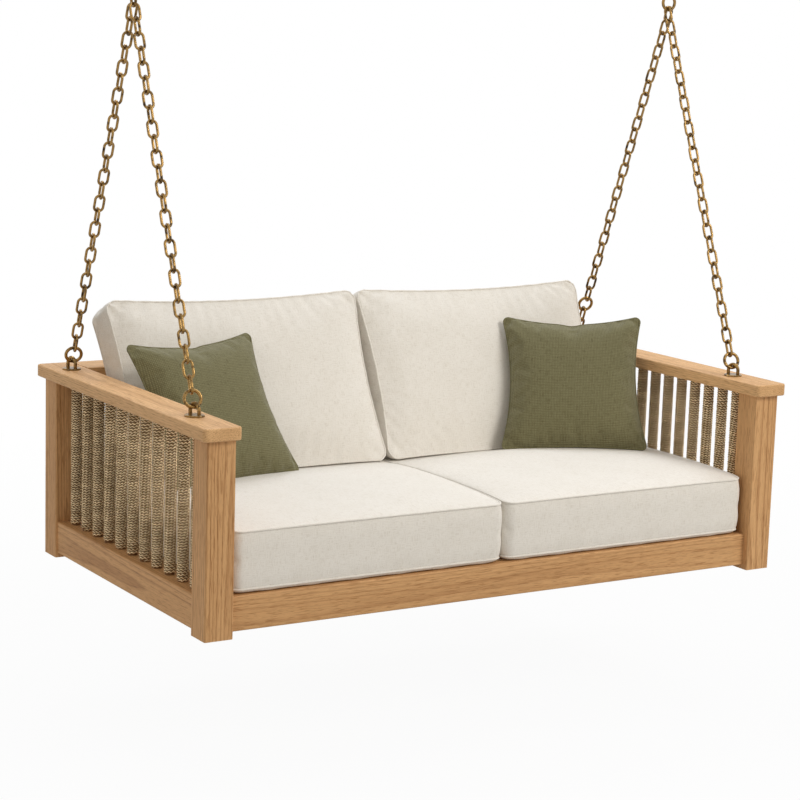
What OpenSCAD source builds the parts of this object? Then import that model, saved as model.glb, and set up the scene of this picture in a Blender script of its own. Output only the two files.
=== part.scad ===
// Hanging swing bed: a timber daybed frame with cord-wound spindles, slung on four chain legs.
// Bed coordinates: x across, y from the front post faces to the back, z up from the post feet.
// The finished model is moved so that its origin lies midway between the two ceiling plates,
// on the ceiling face.

/* [Frame] */
// Width over the posts
frame_w = 2030; // [1700:10:2400]
// Depth over the posts
frame_d = 1150; // [1060:10:1240]
// Side of the square posts
post_side = 89; // [76:1:100]
// Height of the posts, from their feet to the underside of the caps
post_h = 568; // [520:1:680]
// Radius of the eased long edges of posts and rails
ease_r = 5; // [2:0.5:8]

/* [Bottom rails] */
// Height of the bottom rails
rail_h = 102; // [90:1:130]
// Thickness of the front rail
rail_t = 38; // [32:1:44]
// Thickness of the side and back rails, which carry the spindles
row_rail_t = 76; // [60:1:80]
// Height of the rails' lower edges above the post feet
rail_lift = 14; // [0:1:40]
// Set-back of the front rail from the post faces
rail_set = 22; // [10:1:34]
// Height of the tenons
tenon_h = 68; // [50:1:80]
// Thickness of the tenons
tenon_t = 14; // [10:1:18]
// Length of the tenons
tenon_l = 24; // [16:1:26]

/* [Caps] */
// Thickness of the arm caps and the back cap
cap_t = 38; // [30:1:45]
// Overhang of an arm cap past the outer post faces
cap_out = 18; // [8:1:30]
// Overhang of all caps past the inner post faces
cap_in = 11; // [4:1:13]
// Overhang of the arm caps in front of the posts
cap_front = 17; // [8:1:30]
// Overhang of all caps behind the posts
cap_back = 29; // [15:1:45]
// Radius of the cap corners seen from above
cap_corner_r = 14; // [8:1:24]
// Radius of the eased cap edges
cap_edge_r = 5; // [2:0.5:8]
// Diameter of the dowels that fix the caps to the posts
dowel_d = 12; // [8:1:16]
// Length of the dowels
dowel_l = 44; // [30:1:60]
// Spacing of the two dowels in a post
dowel_span = 44; // [30:1:50]
// Spacing of the two dowels between the back cap and an arm cap
butt_span = 76; // [60:1:84]

/* [Spindles] */
// Spindles in the left side
left_spindles = 11; // [8:1:14]
// Spindles in the right side
right_spindles = 13; // [8:1:14]
// Spindles in the back
back_spindles = 22; // [12:1:23]
// Diameter of the bare wooden spindle
core_d = 28; // [22:1:30]
// Thickness of the cord winding on it
wrap_t = 5; // [3:0.5:6]
// Clear distance from a post face to the centre of the first spindle
spindle_margin = 60; // [56:1:64]
// Diameter of the pins at the spindle ends
pin_d = 16; // [10:1:20]
// Length of the pins at the spindle ends
pin_l = 18; // [10:1:24]

/* [Deck] */
// Width of a deck slat
slat_w = 89; // [70:1:110]
// Thickness of a deck slat
slat_t = 19; // [15:1:24]
// Number of deck slats
slat_count = 13; // [9:1:15]
// Gap between the outer slats and the side rails
slat_end_gap = 20; // [10:1:40]
// Height of the slat tops above the rail tops
deck_rise = 2; // [0:0.5:6]
// Side of the square cleats that carry the slat ends
cleat_side = 32; // [25:1:40]
// Thickness of the joist under the middle of the slats
joist_t = 38; // [30:1:45]
// Height of the joist
joist_h = 72; // [50:1:78]
// Shank diameter of the slat screws
screw_d = 5; // [4:0.5:6]
// Length of the slat screws
screw_l = 42; // [30:1:45]
// Head diameter of the slat screws
screw_head_d = 10; // [8:0.5:12]

/* [Chain] */
// Wire diameter of the chain links
wire_d = 8; // [6:0.5:9]
// Inner length of a chain link
link_l = 44; // [38:0.1:52]
// Inner width of a chain link
link_w = 20; // [18:0.5:24]
// Links in each chain leg
leg_links = 27; // [21:2:31]
// Links between each ceiling plate and its apex ring
top_links = 3; // [3:2:7]
// Links below the ring of the back right leg
low_links = 2; // [2:2:4]
// Wire diameter of the rings
ring_wire_d = 10; // [8:0.5:12]
// Inner diameter of the rings
ring_in_d = 38; // [34:0.5:46]
// Play between linked wires
link_play = 0.3; // [0.2:0.05:0.6]
// Turn of the lower rings towards the front left
face_turn = -12; // [-20:1:0]

/* [Pad eyes] */
// Wire diameter of the pad eye staples
eye_wire_d = 11; // [9:0.5:12]
// Inner width of the staples
eye_in_w = 26; // [24:0.5:32]
// Turn of the arm staples
eye_turn = -75; // [-90:1:-70]
// Diameter of the round base plates
plate_d = 58; // [54:1:70]
// Thickness of the round base plates
plate_t = 5; // [4:0.5:8]
// Height of the staple's bearing point above the cap
eye_rise = 36; // [34:0.5:44]
// Distance of the front bearing points behind the front posts
front_eye_gap = 93; // [91:1:105]
// Distance of the back bearing points in front of the back posts
back_eye_gap = 27; // [24:1:36]
// Diameter of the threaded stud under a pad eye
stud_d = 12; // [8:1:14]
// Width of the stud nuts across flats
nut_af = 19; // [17:1:22]
// Height of the stud nuts
nut_h = 10; // [8:0.5:12]
// Diameter of the stud washers
washer_d = 24; // [22:1:26]
// Thickness of the stud washers
washer_t = 2.5; // [2:0.5:3]
// Diameter of the recess under the cap that holds the nut
recess_d = 28; // [27:0.5:30]
// Depth of that recess
recess_h = 17; // [15:0.5:20]
// Length of stud that shows below the nut
stud_tip = 2; // [1:0.5:2.5]

/* [Ceiling plates] */
// Length of a ceiling plate, front to back
ceil_l = 120; // [110:1:150]
// Width of a ceiling plate
ceil_w = 60; // [56:1:70]
// Thickness of a ceiling plate
ceil_t = 6; // [5:0.5:8]
// Distance between the two screw holes of a plate
ceil_holes = 90; // [80:1:105]
// Diameter of the screw holes
ceil_hole_d = 9; // [7:0.5:11]
// Straight part of the ceiling staple
ceil_leg = 14; // [12:0.5:20]

/* [Seat cushions] */
// Gap between the seat cushions and the posts beside and behind them
seat_edge_gap = 14; // [1:1:60]
// Gap between the two seat cushions, and between the two back cushions
seat_gap = 2; // [0.5:0.5:10]
// Distance of the cushion fronts behind the front post faces
seat_y = 26; // [22:1:30]
// Height between the two seams of a seat cushion
seat_box = 163; // [110:1:190]
// Rise of the crown above the top seam
seat_crown = 10; // [6:1:30]
// Drop of the bottom below the lower seam
seat_belly = 12; // [8:1:20]
// Corner radius of a seat cushion
seat_corner_r = 46; // [25:1:70]

/* [Back cushions] */
// Gap between a back cushion and the arm cap beside it
back_edge_gap = 31; // [2:1:80]
// Height of a back cushion along its face
back_h = 586; // [480:1:620]
// Thickness between the two seams of a back cushion
back_box = 118; // [90:1:130]
// Rise of the front crown
back_crown = 38; // [20:1:40]
// Rise of the rear crown
back_rear = 58; // [15:1:58]
// Gap between the back cushions and the back cap that they lean on
back_cap_gap = 0.9; // [0.6:0.1:8]
// Lean of the back cushions from upright
back_lean = 26; // [18:1:28]
// Corner radius of a back cushion
back_corner_r = 34; // [20:1:60]
// How far the edges are drawn in between the corners
back_draw = 16; // [4:1:24]

/* [Pillows] */
// Side of the square pillows, corner to corner
pillow_s = 472; // [420:1:474]
// Half the thickness of a pillow
pillow_crown = 62; // [40:1:70]
// Corner radius of a pillow
pillow_corner_r = 16; // [10:1:24]
// How far the pillow edges are drawn in
pillow_draw = 26; // [10:1:34]
// Distance of the left pillow's middle from the outer left post faces
pillow_left_inset = 365; // [330:1:400]
// Distance of the left pillow's middle in front of the back cushions' feet
pillow_left_front_gap = 39; // [36:1:60]
// Lean of the left pillow from upright
pillow_left_lean = 31; // [24:1:36]
// Turn of the left pillow towards the middle
pillow_left_turn = 13; // [0:1:18]
// Roll of the left pillow in its own plane
pillow_left_roll = 0; // [-2:1:2]
// Distance of the right pillow's middle from the outer right post faces
pillow_right_inset = 356; // [330:1:400]
// Distance of the right pillow's middle in front of the back cushions' feet
pillow_right_front_gap = 80; // [76:1:100]
// Lean of the right pillow from upright
pillow_right_lean = 29; // [20:1:32]
// Turn of the right pillow towards the middle
pillow_right_turn = -33; // [-34:1:0]
// Roll of the right pillow in its own plane
pillow_right_roll = -2; // [-4:1:0]

/* [Hidden] */
$fn = 48;

// Clearance round tenons, at the ends of slats and pins, and round the studs
wood_gap = 0.2;
// Clearance round dowels, pins, screws and spindle cores, and inside the nuts
round_gap = 0.1;
// Clearance between a soft piece and what carries it
soft_gap = 0.3;
// Overlap of shapes that are joined, and how far a cut runs past the face it starts from
eps = 0.01;
cut_past = 1;

// Small edge shapes
cleat_ease_r = 2;
slat_ease_r = 3;
joist_shoulder = 12;
pin_chamfer = 1;
plate_bevel = 2;
ceil_corner_r = 12;
screw_rim = 1;

wood = "#c39a66";
wood_top = "#d0aa78";
brass = "#8a6a3c";
cord = "#b09c80";
linen = "#e8e2d8";
sage = "#7f8560";

half_w = frame_w / 2;
arm_x = half_w - post_side / 2;
rail_top = rail_lift + rail_h;
deck_z = rail_top + deck_rise;
cap_z = post_h;
cap_top = post_h + cap_t;
cap_edge_in = half_w - post_side - cap_in;
arm_cap_w = cap_out + post_side + cap_in;
arm_cap_l = cap_front + frame_d + cap_back;
back_cap_w = cap_in + post_side + cap_back;
front_rail_y = rail_set + rail_t / 2;
back_row_y = frame_d - post_side / 2;
wrap_d = core_d + 2 * wrap_t;

// Hang geometry, all in bed coordinates
ring_r = (ring_in_d + ring_wire_d) / 2;
link_r = (link_w + wire_d) / 2;
eye_r = (eye_in_w + eye_wire_d) / 2;
pivot_z = cap_top + eye_rise;
front_pivot_y = post_side + front_eye_gap;
back_pivot_y = frame_d - post_side - back_eye_gap;
hang_y = (front_pivot_y + back_pivot_y) / 2;
eye_reach = (back_pivot_y - front_pivot_y) / 2;
leg_spread = wire_d / 2 + 1.5 * link_play;

// Half inner length and wire radius of element e of a leg whose ring is element q
function half_in(e, q) = e == q ? ring_in_d / 2 : link_l / 2;
function wire_r(e, q) = e == q ? ring_wire_d / 2 : wire_d / 2;
function bar_r(e, q) = e == 0 ? ring_wire_d / 2 : wire_r(e - 1, q);
// Distance from the apex bearing point down to the bar that element e hangs on
function bar_at(e, q) = e == 0 ? 0 :
    bar_at(e - 1, q) + 2 * half_in(e - 1, q) + wire_r(e - 1, q) - bar_r(e - 1, q) - link_play;
function centre_at(e, q) = bar_at(e, q) + half_in(e, q) - bar_r(e, q) - link_play;
leg_length = bar_at(leg_links, leg_links) + ring_in_d
    - bar_r(leg_links, leg_links) - eye_wire_d / 2 - 2 * link_play;
leg_rise = sqrt(pow(leg_length, 2) - pow(eye_reach, 2) - pow(leg_spread, 2));
apex_z = pivot_z + leg_rise;

// The short upper chain: staple bar, links, apex ring
hook_drop = ceil_t + ceil_leg + eye_r;
first_step = link_l + wire_d / 2 - eye_wire_d / 2 - link_play;
link_step = link_l - link_play;
top_ring_step = ring_in_d + ring_wire_d / 2 - wire_d / 2 - link_play;
// The two legs hang side by side in the bottom of the apex ring
apex_ring_z = apex_z + sqrt(pow(ring_r, 2) - pow(leg_spread, 2)) - link_play / 2;
ceiling_z = apex_ring_z - ring_r + top_ring_step + (top_links - 1) * link_step + first_step + hook_drop;

function unit(v) = v / norm(v);
// side is -1 for left and 1 for right, row is -1 for front and 1 for back
function pivot(side, row) = [side * arm_x, hang_y + row * eye_reach, pivot_z];
function apex(side, row) = [side * arm_x + row * leg_spread, hang_y, apex_z];
function leg_dir(side, row) = unit(apex(side, row) - pivot(side, row));
// Direction of the staple's plane, and of the pull within it
staple_dir = [cos(eye_turn), sin(eye_turn), 0];
function pull_dir(side, row) =
    let (u = leg_dir(side, row), a = u * staple_dir) unit([staple_dir.x * a, staple_dir.y * a, u.z]);
function eye_centre(side, row) = pivot(side, row) - eye_r * pull_dir(side, row);

module in_frame() {
    translate([0, -hang_y, -ceiling_z]) children();
}

// ---------- timber ----------

// Rectangle with four rounded corners, centred
module eased_square(w, h, r) {
    square([w - 2 * r, h], center = true);
    square([w, h - 2 * r], center = true);
    for (x = [-1, 1], y = [-1, 1])
        translate([x * (w / 2 - r), y * (h / 2 - r)]) circle(r);
}

// Bar along x with eased long edges, centred
module eased_bar(l, w, h, r) {
    rotate([90, 0, 90]) linear_extrude(l, center = true) eased_square(w, h, r);
}

// Board with rounded corners and eased edges, lying flat, centred in plan, foot at z = 0
module eased_board(l, w, t, corner, edge) {
    translate([0, 0, t / 2]) {
        eased_bar(l - 2 * corner, w, t, edge);
        rotate([0, 0, 90]) eased_bar(w - 2 * corner, l, t, edge);
        for (x = [-1, 1], y = [-1, 1])
            translate([x * (l / 2 - corner), y * (w / 2 - corner), 0])
                rotate_extrude() intersection() {
                    eased_square(2 * corner, t, edge);
                    translate([0, -t / 2]) square([corner, t]);
                }
    }
}

module tenon(l, gap) {
    translate([l / 2, 0, 0])
        cube([l, tenon_t + 2 * gap, tenon_h + 2 * gap], center = true);
}

// Rail of thickness t along x with a tenon at each end
module tenoned_rail(l, t) {
    eased_bar(l, t, rail_h, ease_r);
    for (s = [0, 180])
        rotate([0, 0, s]) translate([l / 2 - eps, 0, 0]) tenon(tenon_l + eps, 0);
}

// Mortise cut for a rail that meets a post at p, running along angle a into the post
module mortise(p, a) {
    translate(p) rotate([0, 0, a]) translate([-eps, 0, 0]) tenon(tenon_l + wood_gap + eps, wood_gap);
}

rail_mid_z = rail_lift + rail_h / 2;

module post(side, row) {
    y0 = row < 0 ? 0 : frame_d - post_side;
    x0 = side * arm_x;
    long_y = row < 0 ? front_rail_y : back_row_y;
    color(wood) in_frame() difference() {
        translate([x0, y0 + post_side / 2, 0]) linear_extrude(post_h)
            eased_square(post_side, post_side, ease_r);
        mortise([x0 - side * post_side / 2, long_y, rail_mid_z], side > 0 ? 0 : 180);
        mortise([x0, y0 + (row < 0 ? post_side : 0), rail_mid_z], row < 0 ? -90 : 90);
        dowel_set(side, row, round_gap, post_h - dowel_l / 2 - wood_gap, dowel_l);
    }
}

// The two dowels that tie a cap to a post
module dowel_set(side, row, gap, z, l) {
    for (s = [-1, 1])
        translate([side * arm_x + s * dowel_span / 2, row < 0 ? post_side / 2 : back_row_y, z])
            cylinder(d = dowel_d + 2 * gap, h = l);
}

// The dowels that join the back cap to the two arm caps, end to side
module butt_dowels(gap, l) {
    for (side = [-1, 1], s = [-1, 1])
        translate([side * cap_edge_in, back_row_y + s * butt_span / 2, cap_z + cap_t / 2])
            rotate([0, 90, 0]) cylinder(d = dowel_d + 2 * gap, h = l, center = true);
}

module cap_dowels() {
    color(wood) in_frame() {
        for (side = [-1, 1], row = [-1, 1])
            dowel_set(side, row, 0, post_h - dowel_l / 2, dowel_l);
        butt_dowels(0, dowel_l);
    }
}

module front_rail() {
    color(wood) in_frame()
        translate([0, front_rail_y, rail_mid_z]) tenoned_rail(frame_w - 2 * post_side, rail_t);
}

module back_rail() {
    color(wood) in_frame() difference() {
        translate([0, back_row_y, rail_mid_z]) tenoned_rail(frame_w - 2 * post_side, row_rail_t);
        back_pins(rail_top - pin_l - wood_gap, round_gap);
    }
}

module side_rail(side) {
    color(wood) in_frame() difference() {
        translate([side * arm_x, frame_d / 2, rail_mid_z]) rotate([0, 0, 90])
            tenoned_rail(frame_d - 2 * post_side, row_rail_t);
        side_pins(side, rail_top - pin_l - wood_gap, round_gap);
        joist_tenon(side, wood_gap);
    }
}

module arm_cap(side) {
    x = side * (half_w + cap_out - arm_cap_w / 2);
    y = arm_cap_l / 2 - cap_front;
    color(wood_top) in_frame() difference() {
        translate([x, y, cap_z]) rotate([0, 0, 90])
            eased_board(arm_cap_l, arm_cap_w, cap_t, cap_corner_r, cap_edge_r);
        side_pins(side, cap_z, round_gap, -eps);
        for (row = [-1, 1]) {
            eye_fixing_cut(side, row);
            dowel_set(side, row, round_gap, cap_z - eps, dowel_l / 2 + wood_gap + eps);
        }
        butt_dowels(round_gap, dowel_l + 2 * wood_gap);
    }
}

module back_cap() {
    l = 2 * cap_edge_in;
    color(wood_top) in_frame() difference() {
        translate([0, frame_d + cap_back - back_cap_w / 2, cap_z + cap_t / 2])
            eased_bar(l, back_cap_w, cap_t, cap_edge_r);
        back_pins(cap_z, round_gap, -eps);
        butt_dowels(round_gap, dowel_l + 2 * wood_gap);
    }
}

// ---------- spindles ----------

first_spindle = post_side + spindle_margin;
// Place of spindle i of n along a side of the given length
function spindle_at(i, n, len) = first_spindle + i * (len - 2 * first_spindle) / (n - 1);

module side_places(side) {
    n = side < 0 ? left_spindles : right_spindles;
    for (i = [0 : n - 1])
        translate([side * arm_x, spindle_at(i, n, frame_d), 0]) children();
}

module back_places() {
    for (i = [0 : back_spindles - 1])
        translate([spindle_at(i, back_spindles, frame_w) - half_w, back_row_y, 0]) children();
}

module pin_cut(z, gap, start) {
    translate([0, 0, z + start]) cylinder(d = pin_d + 2 * gap, h = pin_l + wood_gap - start + eps);
}

module side_pins(side, z, gap, start = 0) {
    side_places(side) pin_cut(z, gap, start);
}

module back_pins(z, gap, start = 0) {
    back_places() pin_cut(z, gap, start);
}

// Turned spindle with a pin at each end
module spindle() {
    rotate_extrude() polygon([
        [0, rail_top - pin_l],
        [pin_d / 2 - pin_chamfer, rail_top - pin_l],
        [pin_d / 2, rail_top - pin_l + pin_chamfer],
        [pin_d / 2, rail_top],
        [core_d / 2, rail_top],
        [core_d / 2, cap_z],
        [pin_d / 2, cap_z],
        [pin_d / 2, cap_z + pin_l - pin_chamfer],
        [pin_d / 2 - pin_chamfer, cap_z + pin_l],
        [0, cap_z + pin_l]
    ]);
}

// Outer body of the cord winding, with its shoulders rounded off at both ends
module cord_wrap() {
    r0 = core_d / 2 + round_gap;
    r1 = wrap_d / 2;
    z0 = rail_top + wood_gap;
    z1 = cap_z - wood_gap;
    s = wrap_t / 2;
    rotate_extrude() polygon([
        [r0, z0], [r1 - s, z0], [r1, z0 + s], [r1, z1 - s], [r1 - s, z1], [r0, z1]
    ]);
}

module spindles_side(side) {
    color(wood) in_frame() side_places(side) spindle();
}

module spindles_back() {
    color(wood) in_frame() back_places() spindle();
}

module cord_wraps_side(side) {
    color(cord) in_frame() side_places(side) cord_wrap();
}

module cord_wraps_back() {
    color(cord) in_frame() back_places() cord_wrap();
}

// ---------- deck ----------

// The deck lies between the front rail and the back rail, and between the two side rails
deck_front = rail_set + rail_t;
deck_back = back_row_y - row_rail_t / 2;
deck_mid = (deck_front + deck_back) / 2;
slat_l = deck_back - deck_front - 2 * wood_gap;
slat_z = deck_z - slat_t;
rail_in_x = arm_x - row_rail_t / 2;
deck_span = 2 * rail_in_x - 2 * slat_end_gap;
slat_pitch = (deck_span - slat_w) / (slat_count - 1);
cleat_l = frame_w - 2 * post_side - 2 * wood_gap;
function slat_x(i) = -deck_span / 2 + slat_w / 2 + i * slat_pitch;
function cleat_y(row) = row < 0 ? deck_front + cleat_side / 2 : deck_back - cleat_side / 2;

module cleat(row) {
    color(wood) in_frame() difference() {
        translate([0, cleat_y(row), slat_z - cleat_side / 2])
            eased_bar(cleat_l, cleat_side, cleat_side, cleat_ease_r);
        screw_places(row) screw_shank(round_gap);
    }
}

module joist_tenon(side, gap) {
    h = joist_h - 2 * joist_shoulder;
    translate([side * (rail_in_x - eps), deck_mid, slat_z - joist_h / 2])
        rotate([0, 0, side > 0 ? 0 : 180]) translate([tenon_l / 2, 0, 0])
            cube([tenon_l + 2 * eps + gap, tenon_t + 2 * gap, h + 2 * gap], center = true);
}

module deck_joist() {
    color(wood) in_frame() {
        translate([0, deck_mid, slat_z - joist_h / 2])
            eased_bar(2 * rail_in_x, joist_t, joist_h, slat_ease_r);
        for (side = [-1, 1])
            joist_tenon(side, 0);
    }
}

module screw_places(row) {
    for (i = [0 : slat_count - 1])
        translate([slat_x(i), cleat_y(row), deck_z]) children();
}

module screw_shank(gap) {
    translate([0, 0, -screw_l]) cylinder(d = screw_d + 2 * gap, h = screw_l + eps);
}

module screw_body(gap) {
    head_h = (screw_head_d - screw_d) / 2;
    screw_shank(gap);
    translate([0, 0, -head_h - screw_rim])
        cylinder(d1 = screw_d + 2 * gap, d2 = screw_head_d + 2 * gap, h = head_h);
    translate([0, 0, -screw_rim])
        cylinder(d = screw_head_d + 2 * gap, h = screw_rim + (gap > 0 ? eps : 0));
}

module deck_slats() {
    color(wood) in_frame() difference() {
        for (i = [0 : slat_count - 1])
            translate([slat_x(i), deck_mid, slat_z + slat_t / 2]) rotate([0, 0, 90])
                eased_bar(slat_l, slat_w, slat_t, slat_ease_r);
        for (row = [-1, 1])
            screw_places(row) screw_body(round_gap);
    }
}

module slat_screws() {
    color(brass) in_frame() for (row = [-1, 1])
        screw_places(row) screw_body(0);
}

// ---------- chain and fittings ----------

// Half of a round-wire bend in the x-z plane, opening downwards
module wire_bend(r, d) {
    rotate([90, 0, 0]) rotate_extrude(angle = 180) translate([r, 0]) circle(d = d, $fn = 32);
}

// Oval link in the x-z plane, long along z
module chain_link() {
    straight = link_l - link_w;
    for (s = [0, 180])
        rotate([0, s, 0]) translate([0, 0, straight / 2]) wire_bend(link_r, wire_d);
    for (x = [-1, 1])
        translate([x * link_r, 0, -straight / 2]) cylinder(d = wire_d, h = straight, $fn = 32);
}

// Welded round ring in the x-z plane
module wire_ring() {
    rotate([90, 0, 0]) rotate_extrude() translate([ring_r, 0]) circle(d = ring_wire_d, $fn = 32);
}

// Points the z axis along u, with a turn that keeps its compass heading
module aim(u, turn) {
    heading = atan2(u.y, u.x);
    rotate([0, acos(u.z), heading]) rotate([0, 0, turn - heading]) children();
}

// Each element is a quarter turn from the one above it, and the leg twists slowly to face the ring
function leg_turn(e) = 90 * (e + 1) + face_turn * e / leg_links;

function ring_place(side, row) = side > 0 && row > 0 ? leg_links - low_links : leg_links;

module leg_element(side, row, e) {
    u = leg_dir(side, row);
    q = ring_place(side, row);
    translate(apex(side, row) - u * centre_at(e, q)) aim(u, leg_turn(e)) children();
}

module chain_leg(side, row) {
    q = ring_place(side, row);
    color(brass) in_frame()
        for (e = [0 : leg_links])
            if (e != q)
                leg_element(side, row, e) chain_link();
}

module leg_ring(side, row) {
    color(brass) in_frame()
        leg_element(side, row, ring_place(side, row)) wire_ring();
}

// Staple of round wire: two legs down from the arch to the plate, arch centre at the origin
module staple(leg) {
    wire_bend(eye_r, eye_wire_d);
    for (x = [-1, 1])
        translate([x * eye_r, 0, -leg - eps]) cylinder(d = eye_wire_d, h = leg + eps, $fn = 32);
}

module pad_eye(side, row) {
    c = eye_centre(side, row);
    leg = c.z - cap_top - plate_t;
    color(brass) in_frame() {
        translate(c) rotate([0, 0, eye_turn]) staple(leg);
        translate([c.x, c.y, cap_top]) rotate_extrude() polygon([
            [0, 0],
            [plate_d / 2, 0],
            [plate_d / 2, plate_t - plate_bevel],
            [plate_d / 2 - plate_bevel, plate_t],
            [0, plate_t]
        ]);
        translate([c.x, c.y, nut_z - stud_tip]) cylinder(d = stud_d, h = cap_top - nut_z + stud_tip + eps);
    }
}

recess_top = cap_z + recess_h;
nut_z = recess_top - washer_t - nut_h;

// Stud hole through an arm cap, with the recess for its nut
module eye_fixing_cut(side, row) {
    c = eye_centre(side, row);
    translate([c.x, c.y, cap_z - cut_past]) {
        cylinder(d = stud_d + 2 * wood_gap, h = cap_t + 2 * cut_past);
        cylinder(d = recess_d, h = recess_h + cut_past);
    }
}

module at_studs() {
    for (side = [-1, 1], row = [-1, 1])
        translate([eye_centre(side, row).x, eye_centre(side, row).y, 0]) children();
}

module stud_washers() {
    color(brass) in_frame() at_studs() translate([0, 0, recess_top - washer_t]) difference() {
        cylinder(d = washer_d, h = washer_t);
        translate([0, 0, -cut_past]) cylinder(d = stud_d + 2 * wood_gap, h = washer_t + 2 * cut_past);
    }
}

module stud_nuts() {
    color(brass) in_frame() at_studs() translate([0, 0, nut_z]) difference() {
        cylinder(d = nut_af / cos(30), h = nut_h, $fn = 6);
        translate([0, 0, -cut_past]) cylinder(d = stud_d + 2 * round_gap, h = nut_h + 2 * cut_past);
    }
}

module apex_ring(side) {
    color(brass) in_frame() translate([side * arm_x, hang_y, apex_ring_z]) wire_ring();
}

// Link k of the upper chain, counted down from the ceiling staple
module top_link(side, k) {
    bar = ceiling_z - hook_drop - (k == 0 ? 0 : first_step + (k - 1) * link_step);
    above = k == 0 ? eye_wire_d / 2 : wire_d / 2;
    translate([side * arm_x, hang_y, bar - link_l / 2 + above + link_play])
        rotate([0, 0, 90 * (k + 1)]) chain_link();
}

module hanger_link(side) {
    color(brass) in_frame() top_link(side, 0);
}

module top_chain(side) {
    color(brass) in_frame()
        for (k = [1 : top_links - 1])
            top_link(side, k);
}

module ceiling_plate(side) {
    color(brass) in_frame() translate([side * arm_x, hang_y, ceiling_z]) difference() {
        union() {
            translate([0, 0, -ceil_t]) linear_extrude(ceil_t)
                eased_square(ceil_w, ceil_l, ceil_corner_r);
            translate([0, 0, -ceil_t - ceil_leg]) mirror([0, 0, 1]) staple(ceil_leg);
        }
        for (s = [-1, 1])
            translate([0, s * ceil_holes / 2, -ceil_t - cut_past])
                cylinder(d = ceil_hole_d, h = ceil_t + 2 * cut_past);
    }
}

// ---------- soft goods ----------

arc_n = 3;
side_n = 7;

// Outline of a sewn panel: rounded corners, and sides drawn in between them. The foot, at low y,
// is drawn in by the given share of the others.
function panel_side(a, b, r, draw, foot, k) =
    let (len = k % 2 == 0 ? b : a, far = k % 2 == 0 ? a : b, q = len - r)
    [for (j = [1 : side_n])
        let (t = -q + 2 * q * j / (side_n + 1), d = draw * (k == 3 ? foot : 1) * (1 - pow(t / q, 2)))
        [far - d, t]];
function panel_corner(a, b, r, k) =
    let (far = k % 2 == 0 ? a : b, len = k % 2 == 0 ? b : a)
    [for (j = [0 : arc_n])
        let (g = 90 * j / arc_n)
        [far - r + r * cos(g), len - r + r * sin(g)]];
function turned(p, k) = [p.x * cos(90 * k) - p.y * sin(90 * k), p.x * sin(90 * k) + p.y * cos(90 * k)];
function panel(a, b, r, draw, foot) = [
    for (k = [0 : 3])
        for (p = concat(panel_side(a, b, r, draw, foot, k), panel_corner(a, b, r, k)))
            turned(p, k)
];

// One ring of a cushion's border: pulled in by s, at height z
function border_ring(a, b, r, draw, foot, s, z) =
    [for (p = panel(a - s, b - s, r, draw, foot)) [p.x, p.y, z]];

// Rings over one face, from the middle out to the seam. The crown is fullest in the middle,
// thin in the corners, and rises quickly from the seam.
face_steps = [0.88, 0.66, 0.43, 0.24, 0.11, 0.04];
seam_roll = 0.1;
crown_spread = 2.2;
crown_power = 0.45;
function fullness(p, a, b) =
    pow((1 - pow(abs(p.x) / a, crown_spread)) * (1 - pow(abs(p.y) / b, crown_spread)), crown_power);
function face_rings(a, b, r, draw, foot, crown, z, up) =
    [for (t = face_steps) [for (p = panel(a, b, r, draw, foot) * (1 - t))
        [p.x, p.y, z + up * crown * fullness(p, a, b) * sqrt(min(1, t / seam_roll))]]];
function reversed(v) = [for (i = [len(v) - 1 : -1 : 0]) v[i]];

// Rings of a whole cushion from its top middle to its bottom middle. The border bulges by puff
// between its two seams; a cushion with no border has one seam at mid thickness.
border_steps = [1, 0.8, 0, -0.8, -1];
border_power = 4;
function cushion_rings(w, h, r, draw, foot, box, crown, belly, puff) =
    let (a = w / 2, b = h / 2)
    concat(
        face_rings(a, b, r, draw, foot, crown, box / 2, 1),
        [for (g = box > 0 ? border_steps : [0])
            border_ring(a, b, r, draw, foot, puff * pow(g, border_power), g * box / 2)],
        reversed(face_rings(a, b, r, draw, foot, belly, -box / 2, -1))
    );

// Closed skin over a stack of rings with a point at each end
module ring_skin(rings, top, bottom) {
    n = len(rings[0]);
    m = len(rings);
    points = concat([top], [for (ring = rings) for (p = ring) p], [bottom]);
    function id(i, j) = 1 + i * n + (j + n) % n;
    faces = concat(
        [for (j = [0 : n - 1]) [0, id(0, j + 1), id(0, j)]],
        [for (i = [0 : m - 2]) for (j = [0 : n - 1]) [id(i, j), id(i, j + 1), id(i + 1, j)]],
        [for (i = [0 : m - 2]) for (j = [0 : n - 1]) [id(i, j + 1), id(i + 1, j + 1), id(i + 1, j)]],
        [for (j = [0 : n - 1]) [m * n + 1, id(m - 1, j), id(m - 1, j + 1)]]
    );
    polyhedron(points, faces);
}

seat_w = half_w - post_side - seat_edge_gap - seat_gap / 2;
seat_d = frame_d - post_side - seat_edge_gap - seat_y;
seat_seam_z = deck_z + soft_gap + seat_belly + seat_box / 2;
border_puff = 5;

// Height of the top of a seat cushion on its centre line, at distance y from the front post faces
function seat_top(y) = seat_seam_z + seat_box / 2
    + seat_crown * fullness([0, y - seat_y - seat_d / 2], seat_w / 2, seat_d / 2);

module seat_cushion(side) {
    rings = cushion_rings(
        seat_w, seat_d, seat_corner_r, 0, 0, seat_box, seat_crown, seat_belly, border_puff);
    color(linen) in_frame()
        translate([side * (seat_gap / 2 + seat_w / 2), seat_y + seat_d / 2, seat_seam_z])
            ring_skin(rings, [0, 0, seat_box / 2 + seat_crown], [0, 0, -seat_box / 2 - seat_belly]);
}

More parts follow.
